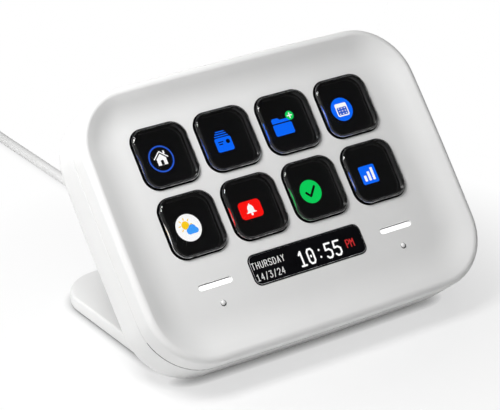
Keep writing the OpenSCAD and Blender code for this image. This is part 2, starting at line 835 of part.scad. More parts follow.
// The grip's block with its neck, which tapers towards the lead between two grooves
module plug_grip() {
    plate(plug_w, plug_t, plug_r, 0, plug_len - neck_len);
    translate([0, 0, plug_len - neck_len]) rotate_extrude() polygon([
        [0, 0], [neck_r, 0],
        for (k = [1, 2]) each [
            [neck_r - 0.2 * k, neck_len * k / 3 - 0.6], [neck_r - 0.7, neck_len * k / 3 - 0.5],
            [neck_r - 0.7, neck_len * k / 3], [neck_r - 0.2 * k, neck_len * k / 3 + 0.1]
        ],
        [lead_r + 0.5, neck_len], [0, neck_len]
    ]);
}

module usb_plug_shell() {
    color("silver") translate([plug_at[0], plug_at[1] - plug_len - shell_len, plug_at[2]])
        rotate([-90, 0, 0]) difference() {
            plate(shell_w, shell_t, 0.4, 0, shell_len);
            plate(shell_w - 2 * shell_wall, shell_t - 2 * shell_wall, 0.2, -cut, shell_len - 2);
        }
}

front_shell();
rear_shell();
foot_pad();
ballast_plate();
case_screws();
key_cap_1();
key_cap_2();
key_cap_3();
key_cap_4();
key_cap_5();
key_cap_6();
key_cap_7();
key_cap_8();
key_spring_1();
key_spring_2();
key_spring_3();
key_spring_4();
key_spring_5();
key_spring_6();
key_spring_7();
key_spring_8();
key_frame();
contact_film();
lcd_panel();
backlight();
chassis_plate();
chassis_screws();
lcd_flex();
info_lens();
info_display();
info_cushion();
info_flex();
light_pipe_left();
light_pipe_right();
touch_pad_left();
touch_pad_right();
led_boards();
status_leds();
main_board();
board_components();
board_screws();
lead_header();
strain_relief();
usb_cable_run();
usb_cable_coil();
coil_ties();
usb_plug_grip();
usb_plug_shell();
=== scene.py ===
# %% [markdown]
# # A leaning desk keypad
# The object is a white desk keypad: a dished face with eight clear keys over one display, a narrow clock bar, two
# light bars, a flat foot and a thin lead. The engineering model gives every rigid form and its place. This lesson
# dresses that model: it adds finer pieces where the eye comes close, and gives every surface a finish made of nodes.

# %% Load the model that everything is built around
import math

import bmesh
import bpy
from mathutils import Matrix, Vector


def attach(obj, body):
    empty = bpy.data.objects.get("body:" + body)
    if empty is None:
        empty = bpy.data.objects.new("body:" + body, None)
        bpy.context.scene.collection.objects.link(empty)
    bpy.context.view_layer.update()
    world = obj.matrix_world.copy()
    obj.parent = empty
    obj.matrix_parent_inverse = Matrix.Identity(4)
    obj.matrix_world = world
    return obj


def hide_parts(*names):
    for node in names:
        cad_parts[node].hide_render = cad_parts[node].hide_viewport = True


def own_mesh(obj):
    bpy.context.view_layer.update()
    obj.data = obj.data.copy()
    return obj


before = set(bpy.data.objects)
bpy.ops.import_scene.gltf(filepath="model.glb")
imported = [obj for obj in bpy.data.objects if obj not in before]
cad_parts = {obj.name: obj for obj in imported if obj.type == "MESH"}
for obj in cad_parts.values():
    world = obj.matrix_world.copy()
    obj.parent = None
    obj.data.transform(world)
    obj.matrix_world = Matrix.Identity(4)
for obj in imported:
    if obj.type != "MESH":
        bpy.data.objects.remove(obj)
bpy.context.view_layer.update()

MM = 0.001

# %% [markdown]
# ## The camera
# A camera looks along its own -Z with +Y up, so its place in the world is a matrix whose columns are the
# directions "right", "up" and "back". A long lens far away keeps the keypad's sides nearly parallel, as a product
# view does.

# %% Camera
CAMERA_AT = Vector((-0.31221, -0.44532, 0.28579))
RIGHT = Vector((0.82361, -0.56713, -0.00495))
UP = Vector((0.24261, 0.34441, 0.90693))
FOCAL_LENGTH, SENSOR_WIDTH = 157.19, 36

camera_data = bpy.data.cameras.new("camera")
camera_data.lens = FOCAL_LENGTH
camera_data.sensor_width = SENSOR_WIDTH
camera = bpy.data.objects.new("camera", camera_data)
bpy.context.scene.collection.objects.link(camera)
camera.matrix_world = Matrix.Translation(CAMERA_AT) @ Matrix(
    (RIGHT, UP, RIGHT.cross(UP))).transposed().to_4x4()
bpy.context.scene.camera = camera
print("camera stands", round(CAMERA_AT.length, 3), "m from the origin")

# %% [markdown]
# ## The lead
# The lead is one length of soft cable: out of its strain relief, down onto the foot, off the foot's rear edge,
# back along the table, and then wound into a neat storage coil that ends in the plug. One curve with a round bevel
# makes all of it, because a curve keeps a true length and an even thickness. The route's corner points repeat the
# engineering model's, and a smooth interpolation fills the space between them. The bevel is one metre, and each
# point's own radius scales it down to the lead's, so that the curve's bounding box is as small as the lead.

# %% Route of the lead
LEAD_D = 3.0
COIL_AT, COIL_R, COIL_PITCH, COIL_COLS = (-29.2, 172.0), 18.0, 3.1, 6
COIL_TURNS, CLIMB_AT = 11.5, 5.5
COIL_Z = 0.6 + LEAD_D / 2
POINTS_PER_TURN = 24
RUN = [(0, 7.308, 10.649), (0, 9.606, 8.721), (0, 13.5, 6.9), (0, 18, 5.9), (-0.3, 24, 5.8), (-1, 32, 5.8),
       (-1.8, 40, 5.8), (-2.4, 46, 5.6), (-2.8, 52, 4.6), (-3.1, 58, 2.9), (-3.3, 64, 1.8), (-3.5, 72, 1.5),
       (-3.5, 90, 1.5), (-3.5, 110, 1.5), (-3.5, 130, 1.5), (-3.5, 150, 1.5), (-3.5, 163, 1.8), (-3.5, 172, 2.1)]
TAIL = [(-55, 172, 5.2), (-55, 166, 5.0), (-54.2, 160, 4.4), (-51.8, 154, 3.7), (-50.1, 148, 3.7),
        (-49.5, 143, 3.8), (-49.5, 137, 3.8)]


def smooth_route(points, steps):
    """Points on a Catmull-Rom curve through a route."""
    p = [Vector(q) for q in points]
    out = []
    for i in range(len(p) - 1):
        a, b, c, d = p[max(i - 1, 0)], p[i], p[i + 1], p[min(i + 2, len(p) - 1)]
        for k in range(steps):
            t = k / steps
            out.append(0.5 * (2 * b + (c - a) * t + (2 * a - 5 * b + 4 * c - d) * t ** 2
                              + (3 * b - a - 3 * c + d) * t ** 3))
    return out + [p[-1]]


def coil_points():
    """Six turns inwards on the table, then five and a half turns outwards on top of them."""
    def ease(x):
        x = min(max(x, 0), 1)
        return x * x * (3 - 2 * x)

    outer = COIL_R + (COIL_COLS - 1) / 2 * COIL_PITCH
    inner = outer - (COIL_COLS - 1) * COIL_PITCH
    out = []
    for i in range(1, int(COIL_TURNS * POINTS_PER_TURN)):
        turn, part = divmod(i / POINTS_PER_TURN, 1)
        # The last sixth of each turn carries the lead over to the next one
        shift = ease((part - 5 / 6) * 6)
        if turn < COIL_COLS:
            radius = max(outer - (turn + shift) * COIL_PITCH, inner)
        else:
            radius = inner + (turn - COIL_COLS + shift) * COIL_PITCH
        climb = ease((turn + part - CLIMB_AT) * 3)
        angle = 2 * math.pi * part
        out.append(Vector((COIL_AT[0] + radius * math.cos(angle), COIL_AT[1] + radius * math.sin(angle),
                           COIL_Z + climb * COIL_PITCH)))
    return out


lead_points = smooth_route(RUN, 2) + coil_points() + smooth_route(TAIL, 2)
lead_length = sum((b - a).length for a, b in zip(lead_points, lead_points[1:])) * MM
print("lead:", len(lead_points), "points,", round(lead_length, 3), "m")

# %% Lead as a curve
lead_data = bpy.data.curves.new("lead", "CURVE")
lead_data.dimensions = "3D"
lead_data.bevel_depth = 1.0
lead_data.bevel_resolution = 5
lead_data.use_fill_caps = True
spline = lead_data.splines.new("POLY")
spline.points.add(len(lead_points) - 1)
for point, place in zip(spline.points, lead_points):
    point.co = (*(place * MM), 1)
    point.radius = LEAD_D / 2 * MM
spline.use_smooth = True
lead = bpy.data.objects.new("lead", lead_data)
bpy.context.scene.collection.objects.link(lead)
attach(lead, "housing")
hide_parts("usb_cable_run", "usb_cable_coil")

# %% [markdown]
# ## Helpers for meshes
# The face leans back, so a piece on it is easiest to write in face coordinates: u across, v up along the face and
# w out of it, in millimetres. FACE is the matrix that carries such a piece into the world. Most pieces here are
# lofts: a stack of outlines with the same number of points, joined ring to ring. A loft ends in two flat lids, or it
# goes on from its last ring to its first one and makes a hoop.

# %% Mesh helpers
LEAN = math.radians(40)
FACE_Z = 45.5
FACE = Matrix((
    (1, 0, 0, 0),
    (0, math.sin(LEAN), -math.cos(LEAN), 0),
    (0, math.cos(LEAN), math.sin(LEAN), FACE_Z),
    (0, 0, 0, 1)))


def rounded_ring(w, h, r, z, steps, at=(0, 0)):
    """Points round a rounded rectangle at one height."""
    points = []
    for c in range(4):
        sx, sy = (1, -1, -1, 1)[c], (1, 1, -1, -1)[c]
        cx, cy = sx * (w / 2 - r), sy * (h / 2 - r)
        for i in range(steps + 1):
            a = math.pi / 2 * (c + i / steps)
            points.append((at[0] + cx + r * math.cos(a), at[1] + cy + r * math.sin(a), z))
    return points


def loft(bm, rings, hoop=False, material=0):
    """Joins a stack of rings into a closed skin and returns the new faces."""
    made = [[bm.verts.new(p) for p in ring] for ring in rings]
    n = len(made[0])
    faces = []
    for low, high in zip(made, made[1:] + made[:1] if hoop else made[1:]):
        for i in range(n):
            faces.append(bm.faces.new((low[i], low[(i + 1) % n], high[(i + 1) % n], high[i])))
    if not hoop:
        faces.append(bm.faces.new(made[0][::-1]))
        faces.append(bm.faces.new(made[-1]))
    for face in faces:
        face.material_index = material
    return faces


def make_piece(name, bm, materials, body="housing", on_face=True, smooth_angle=35):
    """Turns a bmesh in millimetres into an object in metres that rides on a body."""
    mesh = bpy.data.meshes.new(name)
    bmesh.ops.recalc_face_normals(bm, faces=bm.faces)
    bm.to_mesh(mesh)
    bm.free()
    mesh.transform(Matrix.Scale(MM, 4) @ (FACE if on_face else Matrix()))
    mesh.polygons.foreach_set("use_smooth", [True] * len(mesh.polygons))
    mesh.set_sharp_from_angle(angle=math.radians(smooth_angle))
    for material in materials:
        mesh.materials.append(material)
    piece = bpy.data.objects.new(name, mesh)
    bpy.context.scene.collection.objects.link(piece)
    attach(piece, body)
    return piece


# %% [markdown]
# ## Helpers for finishes
# Each finish starts from the Principled shader. A real moulded or metal surface is never one flat value, so a
# broad noise in object coordinates varies the colour a little, and a finer one varies the roughness and lifts the
# surface as a bump. A noise's scale is in waves per metre, because the model is in metres.

# %% Finish helpers
NOISE_LOW, NOISE_HIGH = 0.3, 0.7
BROAD_DETAIL, FINE_DETAIL = 5, 3
BUMP_STRENGTH = 0.6


def new_finish(name, colour, roughness, **constants):
    """A Principled material; the constants are set on the shader's own sockets."""
    material = bpy.data.materials.new(name)
    material.use_nodes = True
    shader = material.node_tree.nodes["Principled BSDF"]
    shader.inputs["Base Color"].default_value = (*colour, 1)
    shader.inputs["Roughness"].default_value = roughness
    for socket, value in constants.items():
        shader.inputs[socket.replace("_", " ")].default_value = value
    material.diffuse_color = (*colour, 1)
    return material


def add_grain(material, colour_scale, colour_swing, rough_swing, bump_scale, bump_height, stretch=(1, 1, 1)):
    """Varies the colour with a broad noise, and the roughness and the height with a fine one."""
    tree = material.node_tree
    nodes, links = tree.nodes, tree.links
    shader = nodes["Principled BSDF"]
    place = nodes.new("ShaderNodeTexCoord")
    scale = nodes.new("ShaderNodeMapping")
    scale.inputs["Scale"].default_value = stretch
    links.new(place.outputs["Object"], scale.inputs["Vector"])
    broad = nodes.new("ShaderNodeTexNoise")
    broad.inputs["Scale"].default_value = colour_scale
    broad.inputs["Detail"].default_value = BROAD_DETAIL
    links.new(scale.outputs["Vector"], broad.inputs["Vector"])
    colour = Vector(shader.inputs["Base Color"].default_value[:3])
    ramp = nodes.new("ShaderNodeValToRGB")
    ramp.color_ramp.elements[0].position = NOISE_LOW
    ramp.color_ramp.elements[1].position = NOISE_HIGH
    ramp.color_ramp.elements[0].color = (*(colour * (1 - colour_swing)), 1)
    ramp.color_ramp.elements[1].color = (*[min(x * (1 + colour_swing), 1) for x in colour], 1)
    links.new(broad.outputs["Fac"], ramp.inputs["Fac"])
    links.new(ramp.outputs["Color"], shader.inputs["Base Color"])
    fine = nodes.new("ShaderNodeTexNoise")
    fine.inputs["Scale"].default_value = bump_scale
    fine.inputs["Detail"].default_value = FINE_DETAIL
    links.new(scale.outputs["Vector"], fine.inputs["Vector"])
    rough = nodes.new("ShaderNodeMapRange")
    base = shader.inputs["Roughness"].default_value
    rough.inputs["To Min"].default_value = max(base - rough_swing, 0.02)
    rough.inputs["To Max"].default_value = min(base + rough_swing, 1)
    links.new(fine.outputs["Fac"], rough.inputs["Value"])
    links.new(rough.outputs["Result"], shader.inputs["Roughness"])
    bump = nodes.new("ShaderNodeBump")
    bump.inputs["Strength"].default_value = BUMP_STRENGTH
    bump.inputs["Distance"].default_value = bump_height
    links.new(fine.outputs["Fac"], bump.inputs["Height"])
    links.new(bump.outputs["Normal"], shader.inputs["Normal"])
    return material


def light_up(material, colour, strength):
    """Makes a finish glow, as a lit display does."""
    shader = material.node_tree.nodes["Principled BSDF"]
    shader.inputs["Emission Color"].default_value = (*colour, 1)
    shader.inputs["Emission Strength"].default_value = strength
    return material


# %% Finishes
# Each grain: the broad noise's scale and colour swing, the roughness swing, and the fine noise's scale and height
white_shell = add_grain(new_finish("white_shell", (0.80, 0.80, 0.795), 0.42), 60, 0.012, 0.06, 2600, 0.00002)
white_lead = add_grain(new_finish("white_lead", (0.84, 0.84, 0.835), 0.55), 90, 0.015, 0.03, 500, 0.000004)
white_strap = add_grain(new_finish("white_strap", (0.74, 0.74, 0.73), 0.6), 300, 0.05, 0.1, 2400, 0.00008,
                        stretch=(1, 1, 4))
dark_rubber = add_grain(new_finish("dark_rubber", (0.035, 0.035, 0.037), 0.8), 200, 0.15, 0.1, 900, 0.0002)
plain_steel = add_grain(new_finish("plain_steel", (0.55, 0.56, 0.58), 0.35, Metallic=1.0), 80, 0.06, 0.12, 1500,
                        0.00001, stretch=(0.05, 1, 1))
screw_steel = add_grain(new_finish("screw_steel", (0.42, 0.42, 0.44), 0.32, Metallic=1.0), 500, 0.12, 0.1, 2500,
                        0.00001)
plug_metal = add_grain(new_finish("plug_metal", (0.62, 0.62, 0.64), 0.25, Metallic=1.0), 120, 0.04, 0.08, 1500,
                       0.00001, stretch=(1, 0.05, 1))
black_plastic = add_grain(new_finish("black_plastic", (0.004, 0.004, 0.0045), 0.6, Specular_IOR_Level=0.15),
                          200, 0.2, 0.1, 2000, 0.00002)
black_silicone = add_grain(new_finish("black_silicone", (0.012, 0.012, 0.013), 0.55), 200, 0.2, 0.1, 1800, 0.00003)
board_green = add_grain(new_finish("board_green", (0.01, 0.11, 0.05), 0.35), 400, 0.3, 0.1, 1500, 0.00003)
amber_film = add_grain(new_finish("amber_film", (0.35, 0.14, 0.02), 0.3), 300, 0.1, 0.05, 1200, 0.00002)
copper_foil = add_grain(new_finish("copper_foil", (0.75, 0.38, 0.2), 0.3, Metallic=1.0), 300, 0.08, 0.1, 1500,
                        0.00001)
ivory_plastic = add_grain(new_finish("ivory_plastic", (0.66, 0.61, 0.48), 0.5), 200, 0.04, 0.05, 2000, 0.00002)
foam_black = add_grain(new_finish("foam_black", (0.012, 0.012, 0.012), 0.95), 600, 0.3, 0.05, 1500, 0.0003)
diffuser = add_grain(new_finish("diffuser", (0.8, 0.8, 0.8), 0.6), 200, 0.03, 0.05, 2000, 0.00002)
display_glass = add_grain(new_finish("display_glass", (0.003, 0.003, 0.004), 0.25, Specular_IOR_Level=0.05),
                          1500, 0.2, 0.02, 3000, 0.000002)
smoked_lens = add_grain(new_finish("smoked_lens", (0.004, 0.004, 0.005), 0.1, Specular_IOR_Level=0.12),
                        300, 0.2, 0.03, 1500, 0.000002)
lamp_white = light_up(add_grain(new_finish("lamp_white", (0.9, 0.9, 0.9), 0.3), 300, 0.02, 0.05, 1200, 0.000005),
                      (1, 1, 1), 0.75)
print("finishes:", len(bpy.data.materials))

# %% Clear key plastic
clear_cap = new_finish("clear_cap", (1, 1, 1), 0.0, Transmission_Weight=1.0, IOR=1.49)
print("clear cap made")

# %% [markdown]
# ## Dressing the engineering model
# The model's own meshes come as loose triangles. Weld joins their corners, a small geometry-node group smooths every
# edge that is flatter than an angle, and a weighted normal keeps wide faces flat next to narrow round ones. All
# three are modifiers, so the stored mesh itself stays as it is.

# %% Dress the nodes
def smooth_group(angle):
    """Geometry nodes that smooth every edge flatter than an angle."""
    group = bpy.data.node_groups.new("smooth_by_angle", "GeometryNodeTree")
    group.interface.new_socket("Geometry", in_out="INPUT", socket_type="NodeSocketGeometry")
    group.interface.new_socket("Geometry", in_out="OUTPUT", socket_type="NodeSocketGeometry")
    nodes, links = group.nodes, group.links
    start, end = nodes.new("NodeGroupInput"), nodes.new("NodeGroupOutput")
    edge = nodes.new("GeometryNodeInputMeshEdgeAngle")
    sharp = nodes.new("FunctionNodeCompare")
    sharp.data_type, sharp.operation = "FLOAT", "GREATER_THAN"
    sharp.inputs[1].default_value = angle
    faces = nodes.new("GeometryNodeSetShadeSmooth")
    faces.domain = "FACE"
    edges = nodes.new("GeometryNodeSetShadeSmooth")
    edges.domain = "EDGE"
    edges.inputs["Shade Smooth"].default_value = False
    links.new(edge.outputs["Unsigned Angle"], sharp.inputs[0])
    links.new(start.outputs[0], faces.inputs["Geometry"])
    links.new(faces.outputs[0], edges.inputs["Geometry"])
    links.new(sharp.outputs["Result"], edges.inputs["Selection"])
    links.new(edges.outputs[0], end.inputs[0])
    return group


SMOOTH = smooth_group(math.radians(28))
WELD_REACH = 0.000002


def dress(node, material):
    """Gives a model node a finish and smooth shading."""
    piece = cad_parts[node]
    piece.data.materials.clear()
    piece.data.materials.append(material)
    weld = piece.modifiers.new("weld", "WELD")
    weld.merge_threshold = WELD_REACH
    smooth = piece.modifiers.new("smooth", "NODES")
    smooth.node_group = SMOOTH
    weighted = piece.modifiers.new("weighted", "WEIGHTED_NORMAL")
    weighted.keep_sharp = True


NODE_FINISHES = {
    "front_shell": (white_shell, "shell_white"), "rear_shell": (white_shell, "shell_white"),
    "foot_pad": (dark_rubber, "foot_rubber"), "ballast_plate": (plain_steel, "plain_steel"),
    "case_screws": (screw_steel, "screw_steel"), "chassis_screws": (screw_steel, "screw_steel"),
    "board_screws": (screw_steel, "screw_steel"), "key_frame": (black_plastic, "black_plastic"),
    "contact_film": (black_plastic, "black_plastic"), "lcd_panel": (display_glass, "display_black"),
    "backlight": (diffuser, "diffuser_white"), "chassis_plate": (plain_steel, "plain_steel"),
    "lcd_flex": (amber_film, "amber_film"), "info_lens": (smoked_lens, "smoked_lens"),
    "info_display": (display_glass, "display_black"), "info_cushion": (foam_black, "black_foam"),
    "info_flex": (amber_film, "amber_film"), "light_pipe_left": (lamp_white, "light_white"),
    "light_pipe_right": (lamp_white, "light_white"), "touch_pad_left": (copper_foil, "copper_foil"),
    "touch_pad_right": (copper_foil, "copper_foil"), "led_boards": (board_green, "board_green"),
    "status_leds": (ivory_plastic, "led_yellow"), "main_board": (board_green, "board_green"),
    "board_components": (black_plastic, "black_plastic"), "lead_header": (ivory_plastic, "header_ivory"),
    "strain_relief": (white_lead, "lead_white"), "coil_ties": (white_strap, "tie_white"),
    "usb_plug_grip": (white_lead, "lead_white"), "usb_plug_shell": (plug_metal, "plug_metal"),
}
for node_name, (material, slot_name) in NODE_FINISHES.items():
    dress(node_name, material)
lead.data.materials.append(white_lead)
print("dressed", len(NODE_FINISHES), "nodes")

# %% [markdown]
# ## The parting line
# Where the two shells meet, a thin strip in the groove paints the groove's shade. It follows the housing's outline,
# which is a rounded rectangle whose sides bow out a little, so the outline's points are pushed out by a parabola.
# The strip is pale grey and paints only a faint shade line round the sides and the top. Along the underside it is
# black and flush, and paints a fine dark shade line there.

# %% Painted shade strip in the parting line
BODY_W, BODY_H, BODY_DROP, CORNER_R, SIDE_BOW, PART_W = 109.2, 78.8, 8.4, 16.0, 0.7, 3.5
ARC_STEPS, SIDE_STEPS = 16, 14
SHADE_STRIP_IN, SHADE_STRIP_DEEP = 0.05, 0.8
SHADE_STRIP_TURN = -36.0


def body_ring(inset, z):
    """The housing's outline, drawn in by an inset."""
    w, h, r = BODY_W - 2 * (inset + SIDE_BOW), BODY_H - 2 * (inset + SIDE_BOW), CORNER_R - inset
    corners = rounded_ring(w, h, r, z, ARC_STEPS)
    per_arc = ARC_STEPS + 1
    points = []
    for c in range(4):
        arc = corners[c * per_arc:(c + 1) * per_arc]
        last, first = Vector(arc[-1]), Vector(corners[(c + 1) * per_arc % len(corners)])
        points += [Vector(p) for p in arc] + [last.lerp(first, k / SIDE_STEPS) for k in range(1, SIDE_STEPS)]
    return [(x + SIDE_BOW * (1 - (2 * y / h) ** 2) * 2 * x / w,
             y + SIDE_BOW * (1 - (2 * x / w) ** 2) * 2 * y / h - BODY_DROP, z) for x, y, _ in points]


def shade_strip_ring(z):
    """A ring that lies a little inside round the sides and the top, and flush along the underside."""
    flush, inside = body_ring(0, z), body_ring(SHADE_STRIP_IN, z)
    return [low if low[1] < SHADE_STRIP_TURN else high for low, high in zip(flush, inside)]


# Painted shade: a pale grey for the faint shade line in the groove round the sides and the top
pale_shade_strip = add_grain(new_finish("pale_shade_strip", (0.66, 0.66, 0.655), 0.6), 300, 0.04, 0.08, 2000, 0.00001)
bm = bmesh.new()
rings = [shade_strip_ring(-PART_W - 0.16), shade_strip_ring(-PART_W + 0.16), body_ring(SHADE_STRIP_DEEP, -PART_W - 0.02),
         body_ring(SHADE_STRIP_DEEP, -PART_W - 0.08)]
# The underside faces take black as painted shade, and the other faces take the pale painted shade
for face in loft(bm, rings, hoop=True):
    face.material_index = 0 if face.calc_center_median().y < SHADE_STRIP_TURN else 1
make_piece("parting_shade_strip", bm, [black_plastic, pale_shade_strip])
print("parting seal made")

# %% [markdown]
# ## The clear keys
# Each key is a clear moulding with a lip that the housing holds and a rounded upper edge, which works as a lens and
# bends the picture's light into a fine coloured line. The cap has to be a closed solid with true refraction. A matt
# black bezel stands on its lip and covers its straight sides and the start of the rounding, so that light which runs
# sideways inside the plastic ends there, and the key keeps a crisp dark outline. The bezel and the plastic leave a
# hair of air between them, because two skins in one place would flicker.

# %% Key caps
KEY_PITCH, CAP_W, CAP_R, CAP_RISE, CAP_EDGE = 20.0, 17.3, 4.2, 1.3, 1.1
LIP_W, LIP_TOP, CAP_UNDER = 0.8, -1.7, -2.4
BEZEL_T, BEZEL_TOP, BEZEL_GAP = 0.12, 0.75, 0.02
KEY_ARC, EDGE_ARC = 16, 12


def key_at(i):
    """Centre of a key, numbered from 1 at the top left."""
    return ((i - 1) % 4 - 1.5) * KEY_PITCH, (0.5 - (i - 1) // 4) * KEY_PITCH


def square_ring(width, z, at):
    """Outline of a key at one height; its corners keep the same centres at every width."""
    return rounded_ring(width, width, CAP_R - (CAP_W - width) / 2, z, KEY_ARC, at)


def rounding(width):
    """Widths and heights of a rounded upper edge, from its start to the flat top."""
    angles = [math.pi / 2 * k / EDGE_ARC for k in range(EDGE_ARC + 1)]
    return [(width - 2 * CAP_EDGE * (1 - math.cos(a)), CAP_RISE - CAP_EDGE * (1 - math.sin(a))) for a in angles]


def cap_mesh(at):
    """The clear moulding: its lip, its sides inside the bezel and its rounded top."""
    bm = bmesh.new()
    lip, side = CAP_W + 2 * LIP_W, CAP_W - 2 * (BEZEL_T + BEZEL_GAP)
    profile = [(lip, CAP_UNDER), (lip, LIP_TOP), (side, LIP_TOP)] + rounding(side)
    loft(bm, [square_ring(w, z, at) for w, z in profile])
    return bm


def bezel_mesh(at):
    """The black bezel: up along the clear plastic, over its own edge and down outside."""
    bm = bmesh.new()
    inner = CAP_W - 2 * BEZEL_T
    climb = [(w, z) for w, z in rounding(inner) if z < BEZEL_TOP - 0.05]
    reach = CAP_EDGE * (1 - math.sqrt(1 - ((BEZEL_TOP - CAP_RISE) / CAP_EDGE + 1) ** 2))
    profile = [(inner, LIP_TOP + BEZEL_GAP)] + climb + [
        (inner - 2 * reach + 0.02, BEZEL_TOP), (CAP_W - 0.3, BEZEL_TOP - 0.03), (CAP_W - 0.08, BEZEL_TOP - 0.14),
        (CAP_W, BEZEL_TOP - 0.32), (CAP_W, LIP_TOP + BEZEL_GAP)]
    loft(bm, [square_ring(w, z, at) for w, z in profile], hoop=True)
    return bm


bezel_black = add_grain(new_finish("bezel_black", (0.0022, 0.0022, 0.0025), 0.7, Specular_IOR_Level=0.0), 400, 0.2,
                        0.1, 2000, 0.00001)
for i in range(1, 9):
    cap = make_piece(f"clear_key_{i}", cap_mesh(key_at(i)), [clear_cap], f"key_{i}")
    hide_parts(f"key_cap_{i}")
    make_piece(f"key_bezel_{i}", bezel_mesh(key_at(i)), [bezel_black], f"key_{i}")
print("key caps: 8, each", len(cap.data.polygons), "faces")

# %% [markdown]
# ## The collars round the keys
# The black guide frame reaches up into the deck's openings as a thin collar, so that the gap round a key is dark.
# Each collar is one closed ring that lines its opening up to just below the deck.

# %% Slot collars
SLOT_W, DECK_T = 17.8, 1.6
COLLAR_T, COLLAR_TOP = 0.08, -0.05
wide, narrow = SLOT_W - 0.02, SLOT_W - 2 * COLLAR_T
collar_profile = ((wide, -DECK_T), (wide, COLLAR_TOP), (narrow, COLLAR_TOP), (narrow, -DECK_T))
bm = bmesh.new()
for i in range(1, 9):
    loft(bm, [square_ring(w, z, key_at(i)) for w, z in collar_profile], hoop=True)
make_piece("slot_collars", bm, [black_plastic])
print("slot collars: 8")

# %% [markdown]
# ## The silicone springs
# Under every cap a black silicone ring pushes it back up. The ring has a bellows waist, and it is squeezed flat
# when its key goes down.

# %% Spring rings
SPRING_H, SPRING_W, SPRING_R = 1.25, CAP_W + 2 * LIP_W - 0.1, 5
SPRING_PROFILE = [(0.9, 0.0), (0.0, 0.0), (0.0, 0.3), (0.35, 0.62), (0.0, 0.95), (0.0, SPRING_H), (0.9, SPRING_H),
                  (0.55, 0.62)]
FILM_FRONT = CAP_UNDER - SPRING_H


def spring_mesh(at):
    """One bellows ring; the profile gives how far each ring draws in, and its height."""
    bm = bmesh.new()
    loft(bm, [rounded_ring(SPRING_W - 2 * inset, SPRING_W - 2 * inset, SPRING_R - inset, FILM_FRONT + up, 8, at)
              for inset, up in SPRING_PROFILE], hoop=True)
    return bm


for i in range(1, 9):
    ring = make_piece(f"spring_ring_{i}", spring_mesh(key_at(i)), [black_silicone])
    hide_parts(f"key_spring_{i}")
    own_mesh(ring)
print("spring rings: 8")

# %% [markdown]
# ## The plug
# The plug's grip is a soft moulding round the connector. It starts as a rounded block that fingers can hold, draws in
# at the shoulders and ends in a slim neck with grooves, so that the lead bends gently there. It is a loft along the
# plug: each station gives the distance from the front, the width, the height and the corner radius.

# %% Plug grip
GRIP_FRONT, PLUG_X, PLUG_Z = 115.0, -49.5, 3.8
ALONG_PLUG = Matrix.Translation((PLUG_X, GRIP_FRONT, PLUG_Z)) @ Matrix(
    ((1, 0, 0, 0), (0, 0, 1, 0), (0, 1, 0, 0), (0, 0, 0, 1)))
SHOULDER = [(0, 14.8, 6.4, 1.5), (0.15, 15.3, 6.9, 1.7), (0.5, 15.8, 7.4, 1.9), (1.1, 16, 7.6, 2.0),
            (10.5, 16, 7.6, 2.0), (12.5, 15.6, 7.5, 2.2), (14.2, 14.4, 7.2, 2.5), (15.5, 12.2, 6.7, 2.7),
            (16.4, 9.6, 6.2, 2.8), (17.0, 7.6, 5.8, 2.75)]
NECK_FROM, NECK_TO, NECK_W, RIBS, RIB_PITCH, RIB_TAPER = 17.2, 24.0, 5.6, 4, 1.7, 0.35
RIB = ((0, 0.0), (0.95, 0.05), (1.05, 0.8), (1.55, 0.85), (1.65, 0.1))


def grip_mesh():
    """The grip: the block and its shoulders, then a tapering neck of ribs with grooves between them."""
    bm = bmesh.new()
    stations = list(SHOULDER)
    for k in range(RIBS):
        for along, shrink in RIB:
            width = NECK_W - RIB_TAPER * k - shrink
            stations.append((min(NECK_FROM + RIB_PITCH * k + along, NECK_TO), width, width, width / 2 - 0.02))
    loft(bm, [rounded_ring(w, h, r, along, 8) for along, w, h, r in stations])
    bmesh.ops.transform(bm, matrix=ALONG_PLUG, verts=bm.verts)
    return bm


grip = make_piece("plug_grip", grip_mesh(), [white_lead], on_face=False, smooth_angle=40)
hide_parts("usb_plug_grip")
print("plug grip:", len(grip.data.polygons), "faces")

# %% [markdown]
# Inside the plug's metal shell sits a tongue with four contacts, two long outer ones and two shorter inner ones.

# %% Plug tongue and contacts
TONGUE_W, TONGUE_T, TONGUE_END = 10.6, 1.9, -2.05
CONTACT_W, CONTACTS = 1.0, ((-3.5, 7.4), (-1.0, 6.4), (1.0, 6.4), (3.5, 7.4))
bm = bmesh.new()
loft(bm, [rounded_ring(TONGUE_W, TONGUE_T, 0.2, z, 4, (0, -0.9)) for z in (-9.6, -9.4, TONGUE_END)])
bmesh.ops.transform(bm, matrix=ALONG_PLUG, verts=bm.verts)
make_piece("plug_tongue", bm, [black_plastic], on_face=False)
contact_gold = add_grain(new_finish("contact_gold", (0.83, 0.58, 0.22), 0.25, Metallic=1.0), 400, 0.05, 0.08,
                         2000, 0.000005)
bm = bmesh.new()
for x, length in CONTACTS:
    loft(bm, [rounded_ring(CONTACT_W, length, 0.15, z, 3, (x, TONGUE_END - length / 2)) for z in (0.0, 0.04, 0.06)])
bmesh.ops.transform(bm, matrix=Matrix.Translation((PLUG_X, GRIP_FRONT, PLUG_Z + 0.04)), verts=bm.verts)
make_piece("plug_contacts", bm, [contact_gold], on_face=False)
print("plug tongue and contacts made")

# %% [markdown]
# ## Pictures on the display
# The display shows one small picture under each key. They are drawn here as thin flat tiles that glow, on top of
# the display's glass and under the caps. A tile is a filled outline, so the helpers below make discs, rings,
# rounded boxes, polygons and round-ended strokes.

